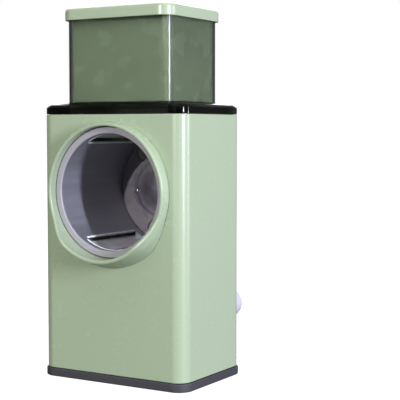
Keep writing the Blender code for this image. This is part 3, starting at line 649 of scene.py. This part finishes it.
def make_drum_barrel():
    outer = DRUM_INNER + DRUM_SHEET
    profile = rounded([(outer, DRUM_BACK, 0.0002), (outer, DRUM_FRONT, 0.0002),
                       (DRUM_INNER, DRUM_FRONT, 0.0002), (DRUM_INNER, DRUM_BACK, 0.0002)],
                      closed=True, steps=2)
    barrel = turned("drum_barrel", profile, closed=True)
    for start, span in LOUVRES:
        step = math.copysign(1.0, span)
        near, middle, far = start - 2 * step, start + span / 2, start + span - 3 * step
        window = [(0.030, near), (0.060, near), (0.060, middle), (0.060, far), (0.030, far),
                  (0.030, middle)]
        boolean(barrel, extruded("window", window, LOUVRE_FRONT, LOUVRE_BACK))
        section = blade_path(start, span, DRUM_SHEET) + blade_path(start, span)[::-1]
        boolean(barrel, extruded("blade", section, LOUVRE_FRONT - 0.0004, LOUVRE_BACK + 0.0004),
                "UNION")
        wall = blade_path(start, span, DRUM_SHEET)
        wall += [(DRUM_INNER + 0.0002, degrees) for _, degrees in wall[::-1]]
        for y in (LOUVRE_FRONT, LOUVRE_BACK):
            boolean(barrel, extruded("blade_end", wall, y - 0.0006, y + 0.0006), "UNION")
    near = LOUVRES[0][0] + SLIT_TURN
    far = near + SLIT_SPAN
    slit = [(0.0425, near), (0.0520, near), (0.0520, far), (0.0425, far)]
    boolean(barrel, extruded("slit", slit, -0.030, 0.010))
    finish(barrel, "drum_shell", DRUM, 25)
    # The blades' inner faces take the bright steel, a painted highlight where the raised blade
    # catches light.
    barrel.data.materials.append(GROUND_EDGE_AND_HIGHLIGHT)
    for polygon in barrel.data.polygons:
        outward = polygon.center - Vector((0, polygon.center.y, AXIS_Z))
        in_louvre = LOUVRE_FRONT < polygon.center.y < LOUVRE_BACK
        if in_louvre and outward.length > DRUM_INNER + 0.0004 and polygon.normal.dot(outward) < 0:
            polygon.material_index = 1
    return barrel


def bead(name, thick, points, notch=0.0):
    """A round bead along a path. notch makes every other section smaller, as fine teeth."""
    loops = []
    for i, point in enumerate(points):
        here = Vector(point)
        along = (Vector(points[min(i + 1, len(points) - 1)]) - Vector(points[max(i - 1, 0)]))
        along.normalize()
        inward = (Vector((0, here.y, AXIS_Z)) - here).normalized()
        side = along.cross(inward).normalized()
        size = thick * (0.35 if i in (0, len(points) - 1) else 1.0 - notch * (i % 2))
        loops.append([here + (inward * math.cos(math.pi * k / 5)
                              + side * math.sin(math.pi * k / 5)) * size for k in range(10)])
    return loft(name, loops)


def make_louvre_edges():
    """The ground edge of the drum sheet beside each blade and the rolled bead at its front, in bright
    steel that is partly ground metal and partly a painted highlight.
    """
    for i, (start, span) in enumerate(LOUVRES):
        step = math.copysign(1.0, span)
        edge = start - 2.7 * step
        teeth = [polar(DRUM_INNER + 0.0003, edge,
                       LOUVRE_FRONT + 0.0005 + EDGE_LENGTH * k / EDGE_STEPS)
                 for k in range(EDGE_STEPS + 1)]
        long_edge = bead("cutting_edge_%d" % (i + 1), 0.0009, teeth, 0.5)
        finish(long_edge, "drum_shell", GROUND_EDGE_AND_HIGHLIGHT, 60)
        roll = bead("front_roll_%d" % (i + 1), 0.0006,
                    [polar(DRUM_INNER + 0.0001, start + (span - 4 * step) * k / 24,
                           LOUVRE_FRONT - 0.0012) for k in range(25)])
        finish(roll, "drum_shell", GROUND_EDGE_AND_HIGHLIGHT, 60)


def make_drum_ring():
    outer = DRUM_INNER + DRUM_SHEET + GAP
    profile = rounded([(RING_OUTER, DRUM_FRONT + 0.0015, 0.0003), (RING_OUTER, RING_FRONT, 0.0006),
                       (RING_INNER, RING_FRONT, 0.0007), (RING_INNER, DRUM_FRONT - GAP, 0.0002),
                       (outer, DRUM_FRONT - GAP), (outer, DRUM_FRONT + 0.0040, 0.0002),
                       (outer + 0.0016, DRUM_FRONT + 0.0040, 0.0004),
                       (outer + 0.0016, DRUM_FRONT + 0.0015)], closed=True, steps=4)
    return finish(turned("drum_mouth_ring", profile, closed=True), "drum_front_ring",
                  LILAC)


def dome_profile(offset, steps=24):
    """A low bell from the dome's rim to its middle, moved along Y by offset."""
    points = []
    for i in range(steps + 1):
        share = i / steps
        height = DOME_HEIGHT * (1 - math.cos(math.pi * share)) / 2
        points.append((DOME_RADIUS * (1 - share), HAT_FRONT - height + offset))
    return points


def make_drum_plate():
    """A flat plate with a raised hat, whose rim has a fine rolled bead, and a low dome on it. The
    hat's front takes a darker, more metallic copy of the plate steel as painted shade.
    """
    rim = DRUM_INNER - GAP
    face = DRUM_BACK - PLATE_SHEET
    inner = HAT_RADIUS - PLATE_SHEET
    rear = dome_profile(PLATE_SHEET)[::-1]
    rear += rounded([(DOME_RADIUS, HAT_FRONT + PLATE_SHEET), (inner, HAT_FRONT + PLATE_SHEET, 0.0005),
                     (inner, DRUM_BACK, 0.0004), (rim, DRUM_BACK, 0.0004),
                     (rim, face)], steps=4)[1:]
    front = rounded([(rim, DRUM_BACK), (rim, face, 0.0003), (HAT_RADIUS, face, 0.0006),
                     (HAT_RADIUS, HAT_FRONT, 0.0003), (HAT_RADIUS - 0.0006, HAT_FRONT, 0.0002),
                     (HAT_RADIUS - 0.0009, HAT_FRONT + 0.0003, 0.0002),
                     (DOME_RADIUS + 0.0022, HAT_FRONT + 0.0003, 0.0006), (DOME_RADIUS, HAT_FRONT)],
                    steps=4)[1:]
    plate = turned("drum_back_plate", rear + front + dome_profile(0.0)[1:])
    for degrees in PLATE_HOLES:
        boolean(plate, rod("hole", PLATE_HOLE, 0.0, 0.05, centre=polar(PLATE_HOLE_PITCH, degrees)))
    for degrees in RIVETS:
        boolean(plate, rod("hole", RIVET_HOLE, 0.0, 0.05, centre=polar(RIVET_PITCH, degrees),
                           sides=24))
    finish(plate, "drum_end_plate", PLATE, 40)
    # The hat's front faces take the darker copy of the plate steel: painted shade.
    plate.data.materials.append(HAT_PAINTED_SHADE)
    for polygon in plate.data.polygons:
        middle = polygon.center
        radius = math.hypot(middle.x, middle.z - AXIS_Z)
        if radius < HAT_RADIUS - 0.0007 and polygon.normal.y < 0:
            polygon.material_index = 1
    return plate


def make_rivets():
    for i, degrees in enumerate(RIVETS):
        node = "drum_rivet_%d" % (i + 1)
        low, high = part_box(node)
        front, rear = low.y, high.y
        head, shank = 0.0019, 0.0010
        profile = rounded([(0.0, front), (head, front, 0.0007), (head, front + 0.0008, 0.0001),
                           (shank, front + 0.0008), (shank, rear - 0.0007),
                           (head, rear - 0.0007, 0.0001), (head, rear, 0.0006), (0.0, rear)],
                          steps=5)
        rivet = turned("rivet_%d" % (i + 1), profile, centre=polar(RIVET_PITCH, degrees), sides=32)
        finish(rivet, node, STEEL)


# ---- screws ----
def make_screw(name, node, head_radius, shank_radius, head, shank, direction, centre, recess):
    """A pan-head screw with a cross recess. head and shank are (start, end) along the axis."""
    outward = math.copysign(1.0, head[1] - head[0])
    shoulder = head[0]
    profile = rounded([(0.0, head[1]), (head_radius, head[1], head_radius * 0.30),
                       (head_radius, shoulder, 0.0001), (shank_radius, shoulder),
                       (shank_radius, shank, 0.0002), (0.0, shank)], steps=5)
    screw = turned(name, profile, direction, centre, 40)
    depth = head[1] - outward * recess * 0.6
    reach = head[1] + outward * 0.001
    for a, b in ((recess, recess * 0.24), (recess * 0.24, recess)):
        loops = []
        for along, share in ((depth, 0.55), (reach, 1.0)):
            loops.append([axis_point(x * a * share, y * b * share, along, direction, centre)
                          for x, y in ((1, 1), (-1, 1), (-1, -1), (1, -1))])
        boolean(screw, loft("recess", loops))
    return finish(screw, node, STEEL)


def make_screws():
    for i, degrees in enumerate(SCREWS):
        node = "chamber_screw_%d" % (i + 1)
        low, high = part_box(node)
        make_screw("rear_screw_%d" % (i + 1), node, 0.0034, 0.0014, (high.y - 0.0018, high.y),
                   low.y, ALONG_Y, polar(SCREW_PITCH, degrees), 0.0017)
    for i, (sx, sy) in enumerate(CORNERS):
        node = "base_screw_%d" % (i + 1)
        low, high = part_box(node)
        make_screw("foot_screw_%d" % (i + 1), node, 0.0030, 0.0014, (low.z + 0.0020, low.z),
                   high.z, UP, (sx * POST_X, sy * POST_Y, 0.0), 0.0016)
    low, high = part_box("crank_screw")
    make_screw("arm_screw", "crank_screw", 0.0085, 0.0020, (high.y - 0.0030, high.y), low.y,
               ALONG_Y, (0, 0, AXIS_Z), 0.0034)


# ---- crank ----
def make_washer(name, node, inner, mat):
    low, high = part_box(node)
    outer = (high.x - low.x) / 2
    centre = (0, 0, (low.z + high.z) / 2)
    edge = 0.0003
    profile = rounded([(outer, high.y, edge), (outer, low.y, edge), (inner, low.y, edge / 2),
                       (inner, high.y, edge / 2)], closed=True, steps=3)
    washer = turned(name, profile, centre=centre, sides=72, closed=True)
    return finish(washer, node, mat)


def make_bushing():
    low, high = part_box("shaft_bushing")
    flange = high.y - 0.0020
    profile = rounded([(BUSH_FLANGE, high.y, 0.0005), (BUSH_FLANGE, flange, 0.0002),
                       (BUSH_RADIUS, flange), (BUSH_RADIUS, low.y, 0.0003),
                       (BUSH_BORE, low.y, 0.0003), (BUSH_BORE, high.y, 0.0003)],
                      closed=True, steps=3)
    return finish(turned("bearing_bush", profile, closed=True, sides=96), "shaft_bushing",
                  BRONZE)


def arm_outline(y, inset):
    """The crank arm's outline at one depth: two round ends joined by tangents."""
    low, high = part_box("crank_arm")
    top = high.z - AXIS_Z
    end = GRIP_Z - low.z
    slope = math.degrees(math.asin((top - end) / CRANK_RADIUS))
    points = []
    for z, radius, start, stop in ((AXIS_Z, top, -slope, 180 + slope),
                                   (GRIP_Z, end, 180 + slope, 360 - slope)):
        for i in range(33):
            angle = math.radians(start + (stop - start) * i / 32)
            points.append(((radius - inset) * math.cos(angle), y,
                           z + (radius - inset) * math.sin(angle)))
    return points


def make_crank_arm():
    """The flat bar between shaft and grip, with a shallow groove along its rear face."""
    section = rounded([(0.004, ARM_FRONT), (0.0, ARM_FRONT, 0.0010), (0.0, ARM_REAR, 0.0016),
                       (0.004, ARM_REAR)], steps=5)
    arm = loft("crank_bar", [arm_outline(y, inset) for inset, y in section])
    groove = []
    for y, inset in ((ARM_REAR - 0.0012, 0.0012), (ARM_REAR + 0.001, 0.0)):
        points = []
        for z, radius, start in ((AXIS_Z - 0.020, 0.0075, 0), (GRIP_Z + 0.018, 0.0065, 180)):
            for i in range(17):
                angle = math.radians(start + 180 * i / 16)
                points.append(((radius - inset) * math.cos(angle), y,
                               z + (radius - inset) * math.sin(angle)))
        groove.append(points)
    boolean(arm, loft("groove", groove))
    boolean(arm, rod("shaft_hole", SHAFT_HOLE, 0.0, 0.1))
    boolean(arm, rod("pin_hole", ARM_PIN_HOLE, 0.0, 0.1, centre=(0, 0, GRIP_Z)))
    return finish(arm, "crank_arm", WHITE)


def make_grip():
    """A handle with a round end, swollen there and narrower at its root, and a blind bore."""
    length = GRIP_END - GRIP_START
    radius = (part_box("grip")[1].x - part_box("grip")[0].x) / 2
    nose = 0.0085
    outside = []
    for i in range(17):
        angle = math.pi / 2 * (1 - i / 16)
        outside.append((radius * math.cos(angle), GRIP_END - nose + nose * math.sin(angle)))
    waist = 0.84
    for i in range(1, 25):
        share = i / 24
        swell = waist + (1 - waist) * math.cos(share * math.pi / 2) ** 1.5
        outside.append((radius * swell, GRIP_END - nose - share * (length - nose - 0.0015)))
    outside += [(radius * (waist - 0.02), GRIP_START + 0.0006), (radius * 0.78, GRIP_START)]
    pocket, pocket_end = 0.0046, GRIP_END - 0.0150      # room for the grip pin's head
    inside = [(PIN_HOLE, GRIP_START), (PIN_HOLE, GRIP_END - 0.0200), (pocket, GRIP_END - 0.0185),
              (pocket, pocket_end), (0.0, pocket_end)]
    grip = turned("grip_handle", outside + inside, centre=(0, 0, GRIP_Z), sides=96)
    return finish(grip, "grip", WHITE, 40)


def dress_kept_nodes():
    """CAD nodes whose shape is right keep it, and get a procedural material."""
    kept = {"drum_chamber": SAGE, "base_plate": DARK, "pull_stem": LILAC, "cam_shaft": STEEL,
            "cam_clip": STEEL, "drum_hub": LILAC, "drive_shaft": STEEL, "grip_pin": STEEL}
    for name, mat in kept.items():
        node = frame["nodes"][name]
        for material_slot in node.material_slots:
            material_slot.material = mat


# ---- stage ----
def target():
    return Vector((0, 0, CAP_TOP / 2))


def softbox(name, azimuth, elevation, distance, width, height, level, colour, glass_only=False):
    """An area light aimed at the object. level is how bright it makes a white card facing it.

    Rays that have come through clear plastic see only a light made with glass_only, and other rays
    see only the rest. The plastic then shows one broad soft light, without grain.
    """
    angle = math.radians(azimuth)
    tilt = math.radians(elevation)
    direction = Vector((math.sin(angle) * math.cos(tilt), -math.cos(angle) * math.cos(tilt),
                        math.sin(tilt)))
    data = bpy.data.lights.new(name, "AREA")
    data.shape = "RECTANGLE"
    data.size = width
    data.size_y = height
    data.energy = level * math.pi ** 2 * distance ** 2
    data.color = colour
    light = bpy.data.objects.new(name, data)
    light.location = target() + direction * distance
    light.rotation_mode = "QUATERNION"
    light.rotation_quaternion = direction.to_track_quat("Z", "Y")
    light.visible_camera = False
    light.visible_transmission = glass_only
    light.visible_diffuse = not glass_only
    light.visible_glossy = not glass_only
    bpy.context.scene.collection.objects.link(light)
    return light


def make_lights():
    softbox("key_strip", 70, 11, 1.6, 0.05, 0.60, 1.26, (0.97, 0.97, 1.16))
    softbox("front_spot", -2, 12, 2.2, 0.05, 0.05, 0.50, (1.0, 0.99, 0.98))
    softbox("front_left_strip", -24, 18, 1.6, 0.05, 0.7, 0.07, (1.0, 0.98, 0.95))
    softbox("right_strip", 112, 6, 1.6, 0.08, 1.0, 0.36, (1.05, 1.0, 1.17))
    softbox("overhead", 20, 78, 1.3, 1.4, 1.2, 0.50, (1.0, 1.0, 1.0))
    softbox("rear_fill", 212, 28, 1.6, 0.7, 0.9, 0.42, (1.0, 1.0, 1.04))
    softbox("glass_fill", 30, 42, 0.75, 0.7, 0.5, 0.95, (1.0, 0.98, 1.0), glass_only=True)


def make_world():
    """White for the camera, and a dim even room for all other rays."""
    world = bpy.data.worlds.new("studio")
    bpy.context.scene.world = world
    world.use_nodes = True
    nodes, links = world.node_tree.nodes, world.node_tree.links
    room = nodes["Background"]
    room.inputs["Color"].default_value = (0.15, 0.15, 0.15, 1.0)
    white = nodes.new("ShaderNodeBackground")
    white.inputs["Color"].default_value = (1.0, 1.0, 1.0, 1.0)
    path = nodes.new("ShaderNodeLightPath")
    mix = nodes.new("ShaderNodeMixShader")
    links.new(path.outputs["Is Camera Ray"], mix.inputs["Fac"])
    links.new(room.outputs["Background"], mix.inputs[1])
    links.new(white.outputs["Background"], mix.inputs[2])
    links.new(mix.outputs["Shader"], nodes["World Output"].inputs["Surface"])


def make_floor():
    """A pale floor that the camera sees, left out of reflections and bounced light."""
    bm = bmesh.new()
    bmesh.ops.create_grid(bm, x_segments=8, y_segments=8, size=12.0)
    floor = new_object(bm, "floor")
    mat = principled("pale_floor", (0.16, 0.16, 0.16), 0.9, Specular_IOR_Level=0.0,
                     Emission_Color=(1.0, 1.0, 1.0, 1.0), Emission_Strength=1.0)
    floor.data.materials.append(mat)
    floor.location.z = -0.0004
    floor.visible_diffuse = False
    floor.visible_glossy = False
    floor.visible_transmission = False


def make_camera():
    data = bpy.data.cameras.new("camera")
    data.sensor_width = 36.0
    data.lens = 100.50
    camera = bpy.data.objects.new("camera", data)
    camera.location = (0.48145, -0.71264, 0.18881)
    camera.rotation_euler = (math.radians(86.418), 0.0, math.radians(31.071))
    bpy.context.scene.collection.objects.link(camera)
    bpy.context.scene.camera = camera


# ---- making ----
make_camera()
make_world()
make_lights()
make_floor()
bpy.context.scene.view_settings.view_transform = "Standard"

make_housing()
make_collar()
make_skirt()
make_suction_pad()
make_lever()
make_hopper()
make_pusher_cap()
make_pusher_body()
make_drum_barrel()
make_louvre_edges()
make_drum_ring()
make_drum_plate()
make_rivets()
make_screws()
make_washer("spacer_ring", "thrust_washer", SHAFT_HOLE, WHITE)
make_washer("handle_washer", "grip_washer", PIN_HOLE, WHITE)
make_bushing()
make_crank_arm()
make_grip()
dress_kept_nodes()
